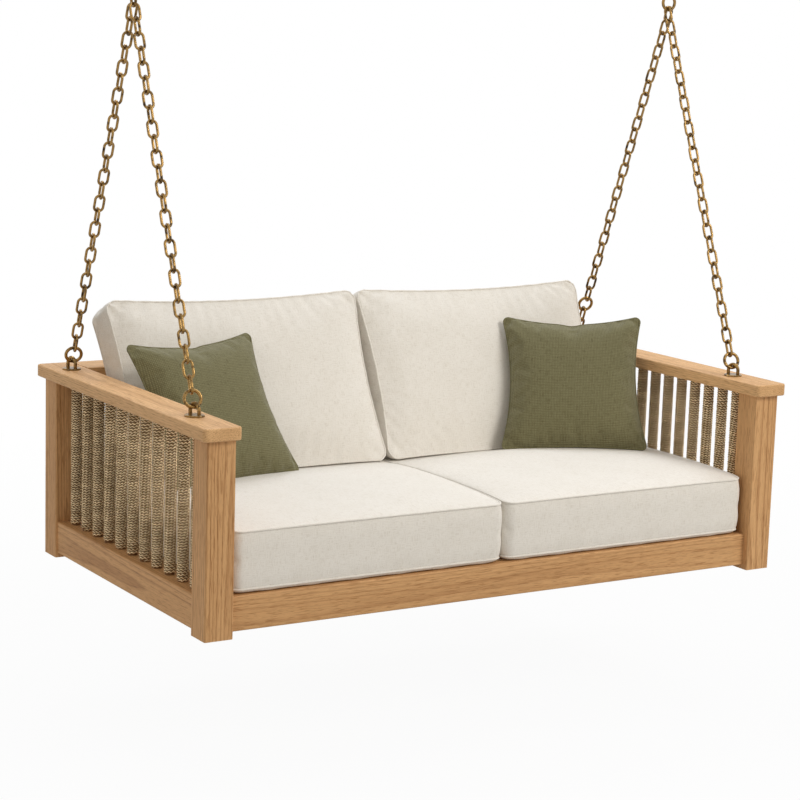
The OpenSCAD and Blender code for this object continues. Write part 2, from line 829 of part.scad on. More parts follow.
// Back cushion: the foot sits flat on the seat, and the body leans back against the back cap.
// back_depth is its depth behind the front seam at height h up the face, on its centre line, and
// cap_touch finds in a few steps the height that meets the eased top edge of the cap.
back_w = cap_edge_in - back_edge_gap - seat_gap / 2;
function back_swing(h) = let (t = min(1, max(0, h / back_h))) back_lean * t * t * (3 - 2 * t);
function back_depth(h) = back_box + back_rear * fullness([0, h - back_h / 2], back_w / 2, back_h / 2);
cap_rise = cap_top - cap_edge_r * (1 - sin(back_lean))
    - seat_seam_z - seat_box / 2 - seat_crown - soft_gap;
function cap_touch(h, steps) = steps == 0 ? h :
    cap_touch((cap_rise + back_depth(h) * sin(back_swing(h))) / cos(back_lean), steps - 1);
touch_steps = 6;
touch_h = cap_touch(back_h / 2, touch_steps);
back_foot_y = frame_d - post_side - cap_in + cap_edge_r * (1 - cos(back_lean)) - back_cap_gap
    - touch_h * sin(back_lean) - back_depth(touch_h) * cos(back_swing(touch_h));
back_base_z = seat_top(back_foot_y) + soft_gap;
// p.x across, p.y up the face from the foot, p.z towards the front
function back_map(p) =
    let (h = p.y + back_h / 2, f = back_swing(h), t = back_box / 2 - p.z)
    [p.x,
     back_foot_y + h * sin(back_lean) + t * cos(f),
     back_base_z + h * cos(back_lean) - t * sin(f)];

module back_cushion(side) {
    rings = cushion_rings(
        back_w, back_h, back_corner_r, back_draw, 0, back_box, back_crown, back_rear, border_puff);
    top = [0, 0, back_box / 2 + back_crown];
    bottom = [0, 0, -back_box / 2 - back_rear];
    color(linen) in_frame() translate([side * (seat_gap / 2 + back_w / 2), 0, 0])
        ring_skin([for (ring = rings) [for (p = ring) back_map(p)]], back_map(top), back_map(bottom));
}

module pillow_form() {
    rings = cushion_rings(
        pillow_s, pillow_s, pillow_corner_r, pillow_draw, 1, 0, pillow_crown, pillow_crown, 0);
    rotate([90, 0, 0]) ring_skin(rings, [0, 0, pillow_crown], [0, 0, -pillow_crown]);
}

// Height of a pillow's middle whose lowest corner stands on the crown of the seat
function pillow_z(lean, roll) =
    let (corner = pillow_s / 2 - pillow_corner_r)
    seat_top(seat_y + seat_d / 2) + soft_gap
        + cos(lean) * (corner * (cos(roll) + sin(abs(roll))) + pillow_corner_r);

module pillow(x, fore, lean, turn, roll) {
    color(sage) in_frame() translate([x, back_foot_y - fore, pillow_z(lean, roll)])
        rotate([0, 0, turn]) rotate([-lean, 0, 0]) rotate([0, roll, 0]) pillow_form();
}

module pillow_left() {
    pillow(pillow_left_inset - half_w, pillow_left_front_gap,
        pillow_left_lean, pillow_left_turn, pillow_left_roll);
}

module pillow_right() {
    pillow(half_w - pillow_right_inset, pillow_right_front_gap,
        pillow_right_lean, pillow_right_turn, pillow_right_roll);
}

post(-1, -1);  // post_front_left
post(1, -1);  // post_front_right
post(-1, 1);  // post_back_left
post(1, 1);  // post_back_right
front_rail();
back_rail();
side_rail(-1);  // side_rail_left
side_rail(1);  // side_rail_right
arm_cap(-1);  // arm_cap_left
arm_cap(1);  // arm_cap_right
back_cap();
cap_dowels();
cleat(-1);  // cleat_front
cleat(1);  // cleat_back
deck_joist();
deck_slats();
slat_screws();
spindles_side(-1);  // spindles_left
spindles_side(1);  // spindles_right
spindles_back();
cord_wraps_side(-1);  // cord_wraps_left
cord_wraps_side(1);  // cord_wraps_right
cord_wraps_back();
pad_eye(-1, -1);  // pad_eye_front_left
pad_eye(1, -1);  // pad_eye_front_right
pad_eye(-1, 1);  // pad_eye_back_left
pad_eye(1, 1);  // pad_eye_back_right
stud_washers();
stud_nuts();
leg_ring(-1, -1);  // ring_front_left
leg_ring(1, -1);  // ring_front_right
leg_ring(-1, 1);  // ring_back_left
leg_ring(1, 1);  // ring_back_right
chain_leg(-1, -1);  // chain_front_left
chain_leg(1, -1);  // chain_front_right
chain_leg(-1, 1);  // chain_back_left
chain_leg(1, 1);  // chain_back_right
apex_ring(-1);  // apex_ring_left
apex_ring(1);  // apex_ring_right
top_chain(-1);  // top_chain_left
top_chain(1);  // top_chain_right
hanger_link(-1);  // hanger_link_left
hanger_link(1);  // hanger_link_right
ceiling_plate(-1);  // ceiling_plate_left
ceiling_plate(1);  // ceiling_plate_right
seat_cushion(-1);  // seat_cushion_left
seat_cushion(1);  // seat_cushion_right
back_cushion(-1);  // back_cushion_left
back_cushion(1);  // back_cushion_right
pillow_left();
pillow_right();
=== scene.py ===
import math

import bpy
import numpy as np
from mathutils import Matrix, Vector


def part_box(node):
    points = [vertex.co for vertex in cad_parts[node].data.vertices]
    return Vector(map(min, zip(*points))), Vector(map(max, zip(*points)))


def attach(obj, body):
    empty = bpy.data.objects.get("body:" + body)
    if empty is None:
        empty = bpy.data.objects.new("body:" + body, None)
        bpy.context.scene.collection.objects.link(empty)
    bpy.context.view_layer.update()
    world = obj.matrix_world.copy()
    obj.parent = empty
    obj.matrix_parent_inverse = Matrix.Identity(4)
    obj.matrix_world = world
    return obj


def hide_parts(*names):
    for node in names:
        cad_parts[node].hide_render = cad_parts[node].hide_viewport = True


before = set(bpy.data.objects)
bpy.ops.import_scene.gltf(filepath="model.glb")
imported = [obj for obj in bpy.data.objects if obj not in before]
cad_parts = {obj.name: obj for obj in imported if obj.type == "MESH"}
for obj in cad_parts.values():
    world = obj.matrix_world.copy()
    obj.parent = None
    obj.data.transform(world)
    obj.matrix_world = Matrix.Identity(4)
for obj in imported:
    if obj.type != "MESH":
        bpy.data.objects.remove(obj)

scene = bpy.context.scene
scene.view_settings.view_transform = "Standard"
scene.frame_set(1)
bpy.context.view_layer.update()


# ---- Where the picture is taken from ----
# The bed is seen from its front left, a little above the cushions, from about six and a half
# metres away through a long lens, with the camera leaning slightly to one side.
picture_lens = 99.52
camera_at = Vector((-3.67082, -5.91629, -0.23624))
camera_turn = math.radians(-31.609)
camera_rise = math.radians(9.978)
camera_tilt = math.radians(1.788)

back = Vector((math.sin(camera_turn) * math.cos(camera_rise),
               -math.cos(camera_turn) * math.cos(camera_rise), math.sin(camera_rise)))
right = (-back).cross(Vector((0, 0, 1))).normalized()
up = right.cross(-back)
across = right * math.cos(camera_tilt) + up * math.sin(camera_tilt)
upward = up * math.cos(camera_tilt) - right * math.sin(camera_tilt)
facing = Matrix((across, upward, back)).transposed().to_4x4()
camera = bpy.data.objects.new("camera", bpy.data.cameras.new("camera"))
camera.data.sensor_width = 36
camera.data.lens = picture_lens
camera.data.clip_end = 100
camera.matrix_world = Matrix.Translation(camera_at) @ facing
scene.collection.objects.link(camera)
scene.camera = camera


# ---- Oak frame: four posts, front, back and side rails, caps ----
# Solid white oak, planed and sanded with eased edges and a clear matt oil. The rails are tenoned
# into the posts, and the caps lie on the posts and hide the tops of the spindles.
growth_ring = 0.0062
ring_strength = 0.62
late_share = 0.24
grain_stretch = 0.055
fibres_a_metre = 620
pores_a_metre = 330
tones_a_metre = 11
# painted highlight along the eased edges: how far in it reaches, and its tone
edge_highlight_reach = 0.005
edge_highlight_tone = (224, 186, 138)
frame_tones = ((225, 177, 124), (171, 121, 76))
# painted light: the caps' oak is painted paler than the rest of the frame, as their tops catch the
# light
cap_painted_light_tones = ((235, 191, 139), (188, 140, 91))
cap_figure = 0.5


def paint(red, green, blue):
    """A colour as it is read off a colour chart, 0 to 255, as a shader takes it."""
    chart = [value / 255 for value in (red, green, blue)]
    return [c / 12.92 if c < 0.04045 else ((c + 0.055) / 1.055) ** 2.4 for c in chart] + [1.0]


def put(tree, kind, sockets=None, **settings):
    """One shader node. Each socket takes a plain value, or another node's output."""
    node = tree.nodes.new("ShaderNode" + kind)
    for key, value in settings.items():
        setattr(node, key, value)
    for key, value in (sockets or {}).items():
        if isinstance(value, bpy.types.NodeSocket):
            tree.links.new(value, node.inputs[key])
        else:
            node.inputs[key].default_value = value
    return node


def shades(tree, pattern, steps):
    """A run of colours or greys along a pattern. Each step is its place and its colour."""
    ramp = put(tree, "ValToRGB", {"Fac": pattern})
    stops = ramp.color_ramp.elements
    while len(stops) < len(steps):
        stops.new(0.5)
    for stop, (place, colour) in zip(stops, steps):
        stop.position = place
        stop.color = colour if hasattr(colour, "__len__") else (colour, colour, colour, 1)
    return ramp.outputs["Color"]


def tinted(tree, colour, share, pattern, steps):
    """A colour darkened or brightened along a pattern, by a share of the full effect."""
    return put(tree, "MixRGB", {"Fac": share, "Color1": colour,
                                "Color2": shades(tree, pattern, steps)},
               blend_type="MULTIPLY").outputs["Color"]


def noise(tree, place, scale, detail, **sockets):
    """A cloudy pattern with about so many patches a metre."""
    sockets = {key.replace("_", " ").title(): value for key, value in sockets.items()}
    return put(tree, "TexNoise", {"Vector": place, "Scale": scale, "Detail": detail,
                                  **sockets}).outputs["Fac"]


def wave_scale(width):
    """The scale of a wave pattern that repeats over a given width in metres."""
    return 2 * math.pi / 20 / width


def new_finish(name, rough=0.5, specular=0.5):
    """A plain finish to build on: its material, its nodes and its surface."""
    finish = bpy.data.materials.new(name)
    finish.use_nodes = True
    surface = finish.node_tree.nodes["Principled BSDF"]
    surface.inputs["Roughness"].default_value = rough
    surface.inputs["Specular IOR Level"].default_value = specular
    return finish, finish.node_tree, surface


def dress(piece, finish):
    """Gives a piece from the frame its finish."""
    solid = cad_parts[piece]
    if not solid.material_slots:
        solid.data.materials.append(finish)
    for place in solid.material_slots:
        place.material = finish


def oak(piece, grain, heart, figure=1.0, tones=frame_tones):
    """Oiled oak for one piece: growth rings round a heart beside the board, fine fibres, open pores
    and slow changes of tone along the grain. A quietly figured board has a figure under 1."""
    early, late = tones
    low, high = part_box(piece)
    middle = (low + high) / 2
    finish, tree, surface = new_finish("oak_" + piece, specular=0.2)
    turn = {"X": (0, -math.pi / 2, 0), "Y": (math.pi / 2, 0, 0), "Z": (0, 0, 0)}[grain]
    stretch = [grain_stretch if axis == grain else 1 for axis in "XYZ"]
    shift = {"X": (middle.z - heart[0], -middle.y - heart[1], 0),
             "Y": (-middle.x - heart[0], middle.z - heart[1], 0),
             "Z": (-middle.x - heart[0], -middle.y - heart[1], 0)}[grain]
    place = put(tree, "TexCoord").outputs["Object"]
    laid = put(tree, "Mapping", {"Vector": place, "Scale": stretch, "Rotation": turn,
                                 "Location": shift}).outputs["Vector"]
    rings = put(tree, "TexWave", {"Vector": laid, "Scale": wave_scale(growth_ring),
                                  "Distortion": 34, "Detail": 4, "Detail Scale": 0.085,
                                  "Detail Roughness": 0.55},
                wave_type="RINGS", rings_direction="Z", wave_profile="SAW").outputs["Fac"]
    fibres = noise(tree, laid, fibres_a_metre, 5, roughness=0.62)
    pores = noise(tree, laid, pores_a_metre, 2, roughness=0.5, distortion=0.3)
    tone = noise(tree, laid, tones_a_metre, 2)
    wood = shades(tree, rings, [(0.0, paint(*early)), (0.5, paint(*early)),
                                (0.86, paint(*late)), (1.0, paint(*early))])
    between = paint(*((1 - late_share) * pale + late_share * dark
                      for pale, dark in zip(early, late)))
    quiet = put(tree, "MixRGB", {"Fac": 1 - ring_strength * figure, "Color1": wood,
                                 "Color2": between})
    streaked = tinted(tree, quiet.outputs["Color"], 0.65, fibres,
                      [(0.34, 0.68), (0.5, 0.96), (0.66, 1.04)])
    pitted = tinted(tree, streaked, 0.65, pores, [(0.36, (0.60, 0.50, 0.40, 1)), (0.45, 1.0)])
    toned = tinted(tree, pitted, 0.8, tone, [(0.3, (0.86, 0.82, 0.78, 1)), (0.55, 1.0),
                                             (0.8, (1.0, 0.97, 0.93, 1))])
    # painted highlight: the eased edges are painted paler than the faces, as where they catch the
    # light
    soft_edge = put(tree, "Bevel", {"Radius": edge_highlight_reach}, samples=4).outputs["Normal"]
    true_face = put(tree, "NewGeometry").outputs["Normal"]
    edge = put(tree, "VectorMath", {0: soft_edge, 1: true_face}, operation="DOT_PRODUCT")
    rubbed = put(tree, "MapRange", {"Value": edge.outputs["Value"], "From Min": 1.0,
                                    "From Max": 0.8, "To Max": 0.3}).outputs["Result"]
    edge_highlighted = put(tree, "MixRGB", {"Fac": rubbed, "Color1": toned, "Color2": paint(*edge_highlight_tone)})
    tree.links.new(edge_highlighted.outputs["Color"], surface.inputs["Base Color"])
    gloss = put(tree, "MapRange", {"Value": fibres, "From Min": 0.3, "From Max": 0.7,
                                   "To Min": 0.62, "To Max": 0.48}).outputs["Result"]
    tree.links.new(gloss, surface.inputs["Roughness"])
    depths = put(tree, "Math", {0: fibres, 1: pores}, operation="ADD").outputs["Value"]
    relief = put(tree, "Bump", {"Height": depths, "Strength": 0.35, "Distance": 0.0005})
    tree.links.new(relief.outputs["Normal"], surface.inputs["Normal"])
    return finish


def dress_in_oak(piece, *board):
    """Gives a piece from the frame its own board, described as for oak."""
    dress(piece, oak(piece, *board))


# after the run of the grain comes how far the tree's heart lies from the board's middle
for side, aside in (("left", 1), ("right", -1)):
    dress_in_oak(f"post_front_{side}", "Z", (0.052 * aside, 0.075))
    dress_in_oak(f"post_back_{side}", "Z", (-0.08 * aside, 0.03))
    dress_in_oak(f"side_rail_{side}", "Y", (0.11 * aside, 0.03))
    dress_in_oak(f"arm_cap_{side}", "Y", (0.02 * aside, 0.085), cap_figure, cap_painted_light_tones)
dress_in_oak("front_rail", "X", (0.02, 0.09), 0.6)
dress_in_oak("back_rail", "X", (-0.01, -0.1))
dress_in_oak("back_cap", "X", (0.08, 0.02), cap_figure, cap_painted_light_tones)
dress_in_oak("cap_dowels", "Z", (0.03, 0.02))


# ---- Deck under the cushions: cleats, joist, slats and screws ----
# Planed slats of plain sawn oak lie across the bed on two cleats and a joist, one screw at each
# end and in the middle. They are hidden by the cushions, and are seen from below.
deck_tones = ((205, 170, 128), (176, 138, 96))
deck_figure = 0.8
for piece in ("cleat_front", "cleat_back", "deck_joist"):
    dress_in_oak(piece, "X", (0.07, 0.05), deck_figure, deck_tones)
dress_in_oak("deck_slats", "Y", (0.07, 0.05), deck_figure, deck_tones)


# ---- Spindles wound with cord ----
# Turned oak spindles stand between the side and back rails and the caps. Each is wound from end
# to end with one length of fine twisted paper cord, turn against turn, its ends tucked under.
cord_thick = 0.0062
cord_wide = 0.0078
cord_pitch = 0.0080
cord_steps = 14
cord_sides = 6
strand_wide = 0.0080
strand_slant = math.radians(-42)
# painted shade and painted highlight: the darkest and the brightest strand tones, either side of
# the kraft
painted_furrow_shade, kraft_tone, painted_ridge_highlight = (78, 50, 22), (206, 168, 118), (255, 236, 200)
gap_shade_reach = 0.09
slow_waver, quick_waver = 0.00022, 0.00016
wrap_clear = 0.0007
turn_slant = 0.0050
level_end = 0.030
slant_grows = 0.045
# painted shade: the spindles' oak is painted darker than the rest of the frame, as it lies in shade
# inside the windings
spindle_painted_shade_tones = ((132, 98, 62), (98, 68, 40))
spindle_figure = 0.6
# how many spindles a row has, and where its first winding starts and leans to
winding_rows = {"left": (11, 0.0, 0.0), "right": (13, 1.1, 0.4), "back": (22, 2.0, 0.0)}


def make_piece(name, points, faces, cloth_map, finish):
    """A mesh object from four-sided faces, with its cloth or cord laid out in metres."""
    mesh = bpy.data.meshes.new(name)
    mesh.vertices.add(len(points))
    mesh.vertices.foreach_set("co", np.ascontiguousarray(points, np.float32).ravel())
    mesh.loops.add(faces.size)
    mesh.loops.foreach_set("vertex_index", np.ascontiguousarray(faces, np.int32).ravel())
    mesh.polygons.add(len(faces))
    mesh.polygons.foreach_set("loop_start", np.arange(0, faces.size, 4, dtype=np.int32))
    mesh.polygons.foreach_set("use_smooth", np.ones(len(faces), bool))
    mesh.update(calc_edges=True)
    laid_out = mesh.uv_layers.new(name="laid_out")
    laid_out.data.foreach_set("uv", np.ascontiguousarray(cloth_map, np.float32).ravel())
    mesh.validate()
    mesh.materials.append(finish)
    piece = bpy.data.objects.new(name, mesh)
    scene.collection.objects.link(piece)
    return piece


def paper_cord():
    """Twisted kraft cord: slanting strands with painted highlights on their ridges and painted
    shade in their furrows, and each turn painted dark down its flanks.
    """
    finish, tree, surface = new_finish("paper_cord", 0.88, 0.2)
    lie = put(tree, "TexCoord").outputs["UV"]
    place = put(tree, "TexCoord").outputs["Object"]
    # two strands are twisted together, so one or the other comes up every eight millimetres
    lay = put(tree, "Mapping", {"Vector": lie, "Rotation": (0, 0, strand_slant)}).outputs["Vector"]
    strands = put(tree, "TexWave", {"Vector": lay, "Scale": wave_scale(strand_wide),
                                    "Distortion": 1.4, "Detail": 2, "Detail Scale": 2},
                  wave_type="BANDS", bands_direction="X").outputs["Fac"]
    fluff = noise(tree, lie, 900, 3)
    turns = put(tree, "Mapping", {"Vector": place, "Scale": (14, 14, 75)}).outputs["Vector"]
    patchy = noise(tree, turns, 1, 2, roughness=0.6)
    # painted shade and painted highlight: the strands run from a dark furrow tone to a bright ridge
    # tone
    kraft = shades(tree, strands, [(0.0, paint(*painted_furrow_shade)), (0.4, paint(*kraft_tone)),
                                   (0.8, paint(*painted_ridge_highlight))])
    # painted shade: each turn is painted dark down its flanks, as in shade, and left pale on its
    # ridge
    round_it = put(tree, "SeparateXYZ", {"Vector": lie}).outputs["Y"]
    round_it = put(tree, "MapRange", {"Value": round_it,
                                      "From Max": math.pi * cord_thick}).outputs["Result"]
    flank_shade = (0.30, 0.24, 0.18, 1)
    flank_shaded = tinted(tree, kraft, 0.9, round_it,
                    [(0.1, 1.0), (0.22, flank_shade), (0.78, flank_shade), (0.9, 1.0)])
    mixed = tinted(tree, flank_shaded, 0.75, patchy,
                   [(0.3, (0.62, 0.57, 0.50, 1)), (0.5, 1.0), (0.7, 1.35)])
    fuzzy = tinted(tree, mixed, 0.5, fluff, [(0.3, 0.8), (0.7, 1.1)])
    # painted shade: darker between the turns and where one spindle faces the next, where shade
    # falls, and a little brighter where the cord lies open
    gap_shade = put(tree, "AmbientOcclusion", {"Distance": gap_shade_reach}, samples=8, only_local=True)
    gap_shaded = tinted(tree, fuzzy, 1, gap_shade.outputs["AO"],
                   [(0.3, (0.26, 0.22, 0.18, 1)), (0.72, 1.0), (0.95, 1.2)])
    tree.links.new(gap_shaded, surface.inputs["Base Color"])
    relief = put(tree, "Bump", {"Height": strands, "Strength": 0.8, "Distance": 0.0009})
    finer = put(tree, "Bump", {"Height": fluff, "Strength": 0.4, "Distance": 0.0005,
                               "Normal": relief.outputs["Normal"]})
    tree.links.new(finer.outputs["Normal"], surface.inputs["Normal"])
    surface.inputs["Sheen Weight"].default_value = 0.35
    surface.inputs["Sheen Roughness"].default_value = 0.4
    surface.inputs["Sheen Tint"].default_value = paint(240, 205, 160)
    return finish


def sweep(path, outward, thick, sides, closed, wide=None):
    """A cord or piping along a path, oval where it is wider than thick. Returns its points, its
    faces and its laid-out map in metres."""
    ends = np.roll(path, -1, 0) - np.roll(path, 1, 0)
    if not closed:
        ends[0], ends[-1] = path[1] - path[0], path[-1] - path[-2]
    along = ends / np.linalg.norm(ends, axis=1)[:, None]
    aside = outward - along * np.sum(outward * along, 1)[:, None]
    aside /= np.linalg.norm(aside, axis=1)[:, None]
    over = np.cross(along, aside)
    angle = np.arange(sides) * 2 * np.pi / sides
    points = (path[:, None] + thick / 2 * np.cos(angle)[None, :, None] * aside[:, None]
              + (wide or thick) / 2 * np.sin(angle)[None, :, None] * over[:, None])
    count = len(path)
    rows = np.arange(count if closed else count - 1)
    here, turn = np.meshgrid(rows, np.arange(sides), indexing="ij")
    nearby, around = (here + 1) % count, (turn + 1) % sides
    faces = np.stack([here * sides + turn, nearby * sides + turn,
                      nearby * sides + around, here * sides + around], -1).reshape(-1, 4)
    steps = np.linalg.norm(np.diff(np.vstack([path, path[:1]]), axis=0), axis=1)
    run = np.concatenate([[0], np.cumsum(steps)])
    girth = np.pi * thick / sides
    u = np.stack([run[here], run[here + 1], run[here + 1], run[here]], -1)
    v = np.stack([turn, turn, turn + 1, turn + 1], -1) * girth
    return points.reshape(-1, 3), faces, np.stack([u, v], -1).reshape(-1, 4, 2)


kraft_cord = paper_cord()
for row, (count, first_start, leans_further) in winding_rows.items():
    low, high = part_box(f"cord_wraps_{row}")
    wrap_r = (high.x - low.x) / 2 if row != "back" else (high.y - low.y) / 2
    turns = (high.z - low.z - cord_wide) / cord_pitch
    angle = np.arange(int(turns * cord_steps) + 1) * 2 * np.pi / cord_steps
    from_end = np.minimum(angle, angle[-1] - angle)
    # the ends dive under the neighbouring turns
    tuck = np.clip(from_end / (0.6 * np.pi), 0, 1)
    radius = wrap_r - cord_thick / 2 - wrap_clear - (1 - tuck) * cord_thick
    # away from the level turns at each end the cord is laid on a slant
    slanted = np.clip((from_end / (2 * np.pi) * cord_pitch - level_end) / slant_grows, 0, 1)
    all_points, all_faces, all_maps, held = [], [], [], 0
    for i in range(count):
        start = 2.4 * i + first_start
        waver = slow_waver * np.sin(angle * 0.37 + 5.1 * i) + quick_waver * np.sin(angle * 1.71 + i)
        slant = turn_slant * slanted * (0.9 + 0.2 * math.sin(3.7 * i))
        rise = slant * np.sin(angle + start - (camera_turn + leans_further))
        ring = np.stack([np.cos(angle + start), np.sin(angle + start), 0 * angle], 1)
        path = ring * (radius + waver - slow_waver)[:, None]
        path[:, 2] = low.z + cord_wide / 2 + angle / (2 * np.pi) * cord_pitch + rise
        share = i / (count - 1)
        if row == "back":
            path[:, 0] += low.x + wrap_r + share * (high.x - low.x - 2 * wrap_r)
            path[:, 1] += (low.y + high.y) / 2
        else:
            path[:, 0] += (low.x + high.x) / 2
            path[:, 1] += low.y + wrap_r + share * (high.y - low.y - 2 * wrap_r)
        points, faces, laid = sweep(path, ring, cord_thick, cord_sides, False, cord_wide)
        all_points.append(points)
        all_faces.append(faces + held)
        all_maps.append(laid + [0.37 * i, 0])
        held += len(points)
    winding = make_piece(f"cord_windings_{row}", np.concatenate(all_points),
                         np.concatenate(all_faces), np.concatenate(all_maps), kraft_cord)
    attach(winding, "bed")
    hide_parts(f"cord_wraps_{row}")
    dress_in_oak(f"spindles_{row}", "Z", (0.03, 0.05), spindle_figure, spindle_painted_shade_tones)


# ---- Pad eyes, rings, chains and ceiling plates ----
# Cast and welded brass with an aged finish: brown in the hollows, rubbed bright where links bear
# on each other. The pad eyes' studs go down through the caps into the posts.
def aged_brass(name, bright, brown, rough):
    """Brass with brown hollows and clouds. Rough is how rough it is where it is rubbed bright."""
    finish, tree, surface = new_finish(name)
    place = put(tree, "TexCoord").outputs["Object"]
    clouds = noise(tree, place, 55, 5, roughness=0.65)
    grit = noise(tree, place, 900, 3)
    colour = shades(tree, clouds, [(0.34, paint(*brown)), (0.52, paint(*bright)),
                                   (0.75, paint(*bright))])
    hollow = put(tree, "NewGeometry").outputs["Pointiness"]
    browned = tinted(tree, colour, 0.8, hollow, [(0.44, (0.45, 0.36, 0.26, 1)), (0.5, 1.0)])
    tree.links.new(browned, surface.inputs["Base Color"])
    dull = put(tree, "MapRange", {"Value": clouds, "From Min": 0.35, "From Max": 0.65,
                                  "To Min": rough + 0.16, "To Max": rough}).outputs["Result"]
    tree.links.new(dull, surface.inputs["Roughness"])
    relief = put(tree, "Bump", {"Height": grit, "Strength": 0.25, "Distance": 0.0003})
    tree.links.new(relief.outputs["Normal"], surface.inputs["Normal"])
    surface.inputs["Metallic"].default_value = 0.75
    return finish


brass = aged_brass("aged_brass", (154, 121, 68), (46, 31, 14), 0.21)
fixing_brass = aged_brass("fixing_brass", (180, 148, 92), (120, 92, 54), 0.3)
for side in ("left", "right"):
    for piece in ("pad_eye", "ring", "chain"):
        for row in ("front", "back"):
            dress(f"{piece}_{row}_{side}", brass)
    for piece in ("apex_ring", "top_chain", "hanger_link", "ceiling_plate"):
        dress(f"{piece}_{side}", brass)
for piece in ("stud_washers", "stud_nuts", "slat_screws"):
    dress(piece, fixing_brass)


# ---- Seat cushions ----
# Two box cushions of foam in an off-white linen-look cover. A top and a bottom panel are sewn to
# a border with piping in both seams. They lie loose on the slats, side by side.
seat_border = 0.163
seat_crown = 0.010
seat_belly = 0.012
seat_corner = 0.032
seat_spread = 0.006
seat_plump = 0.031
seat_roundness = 0.22
seat_open = 0.66
seat_dip = 0.0018
seat_mesh = 0.0125
air_pressure = 4
swelling_steps = 20
border_puff = 0.005
piping_thick = 0.0060
piping_out = 0.0004
slats_low, slats_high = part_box("deck_slats")
slat_count = 13
slat_wide = 0.089
slat_pitch = (slats_high.x - slats_low.x - slat_wide) / (slat_count - 1)
slat_hang = 0.002


def linen(name, pale, shade, slub, weave, woven, nubbiness, relief_depth):
    """Plain woven cloth laid out in metres: threads both ways, thick slubs, nubs and a soft
    mottle. Slub and weave are the width of a slub and of a repeat of the weave."""
    finish, tree, surface = new_finish(name, 0.92, 0.15)
    lie = put(tree, "TexCoord").outputs["UV"]

    def threads(direction, width):
        return put(tree, "TexWave", {"Vector": lie, "Scale": wave_scale(width),
                                     "Distortion": 1.5, "Detail": 2, "Detail Scale": 0.4},
                   wave_type="BANDS", bands_direction=direction).outputs["Fac"]

    def slubs(across, along, detail):
        stretched = put(tree, "Mapping", {"Vector": lie, "Scale": (across, along, 1)})
        return noise(tree, stretched.outputs["Vector"], 1, detail, roughness=0.65)

    weft, warp = threads("X", weave), threads("Y", weave * 1.08)
    cross = put(tree, "Math", {0: weft, 1: warp}, operation="MULTIPLY").outputs["Value"]
    down, over = slubs(1 / slub, 42, 2), slubs(42, 1 / slub, 2)
    both = put(tree, "Math", {0: down, 1: over}, operation="ADD").outputs["Value"]
    half = put(tree, "Math", {0: both, 1: 0.5}, operation="MULTIPLY").outputs["Value"]
    yarn = shades(tree, half, [(0.38, paint(*shade)), (0.5, paint(*pale)), (0.64, paint(*pale))])
    meshed = tinted(tree, yarn, woven, cross, [(0.0, 0.7), (0.5, 1.06)])
    nubby = tinted(tree, meshed, nubbiness, slubs(430, 430, 1), [(0.34, 0.84), (0.62, 1.07)])
    aired = tinted(tree, nubby, 0.4, slubs(9, 9, 2), [(0.3, (0.93, 0.92, 0.90, 1)), (0.6, 1.0)])
    tree.links.new(aired, surface.inputs["Base Color"])
    height = put(tree, "Math", {0: cross, 1: half, 2: 0.6}, operation="MULTIPLY_ADD")
    raised = put(tree, "Math", {0: height.outputs["Value"], 1: both}, operation="ADD")
    relief = put(tree, "Bump", {"Height": raised.outputs["Value"], "Strength": 0.5,
                                "Distance": relief_depth})
    tree.links.new(relief.outputs["Normal"], surface.inputs["Normal"])
    surface.inputs["Sheen Weight"].default_value = 0.18
    surface.inputs["Sheen Roughness"].default_value = 0.5
    return finish


off_white = linen("off_white_linen", (240, 235, 227), (224, 217, 206), slub=0.0017, weave=0.0030,
                  woven=0.12, nubbiness=0.3, relief_depth=0.0006)


def sewn_edge(s, t, wide, tall, corner, draw, foot):
    """Where a panel's edge runs, for a point on the rim of a square: rounded corners, and sides
    drawn in between them. The foot is drawn in by its own share."""
    x, y = wide * s, tall * t
    inner_x, inner_y = wide - corner, tall - corner
    past_x, past_y = np.abs(x) - inner_x, np.abs(y) - inner_y
    turning = (past_x > 0) & (past_y > 0)
    reach = np.where(turning, np.hypot(past_x, past_y), 1)
    new_x = np.where(turning, np.sign(x) * (inner_x + corner * past_x / reach), x)
    new_y = np.where(turning, np.sign(y) * (inner_y + corner * past_y / reach), y)
    upright = np.abs(s) >= np.abs(t)
    pull = np.where(t < 0, draw * foot, draw)
    new_x = new_x - np.where(upright & ~turning, np.sign(s) * draw * (1 - (y / inner_y) ** 2), 0)
    new_y = new_y - np.where(~upright & ~turning, np.sign(t) * pull * (1 - (x / inner_x) ** 2), 0)
    return new_x, new_y


def fullness(x, y, wide, tall, roundness=0.45):
    """How full a panel stands at a point, 0 at its edge and 1 in its middle."""
    level = (1 - (np.abs(x) / wide) ** 2.2) * (1 - (np.abs(y) / tall) ** 2.2)
    return np.clip(level, 0, 1) ** roundness


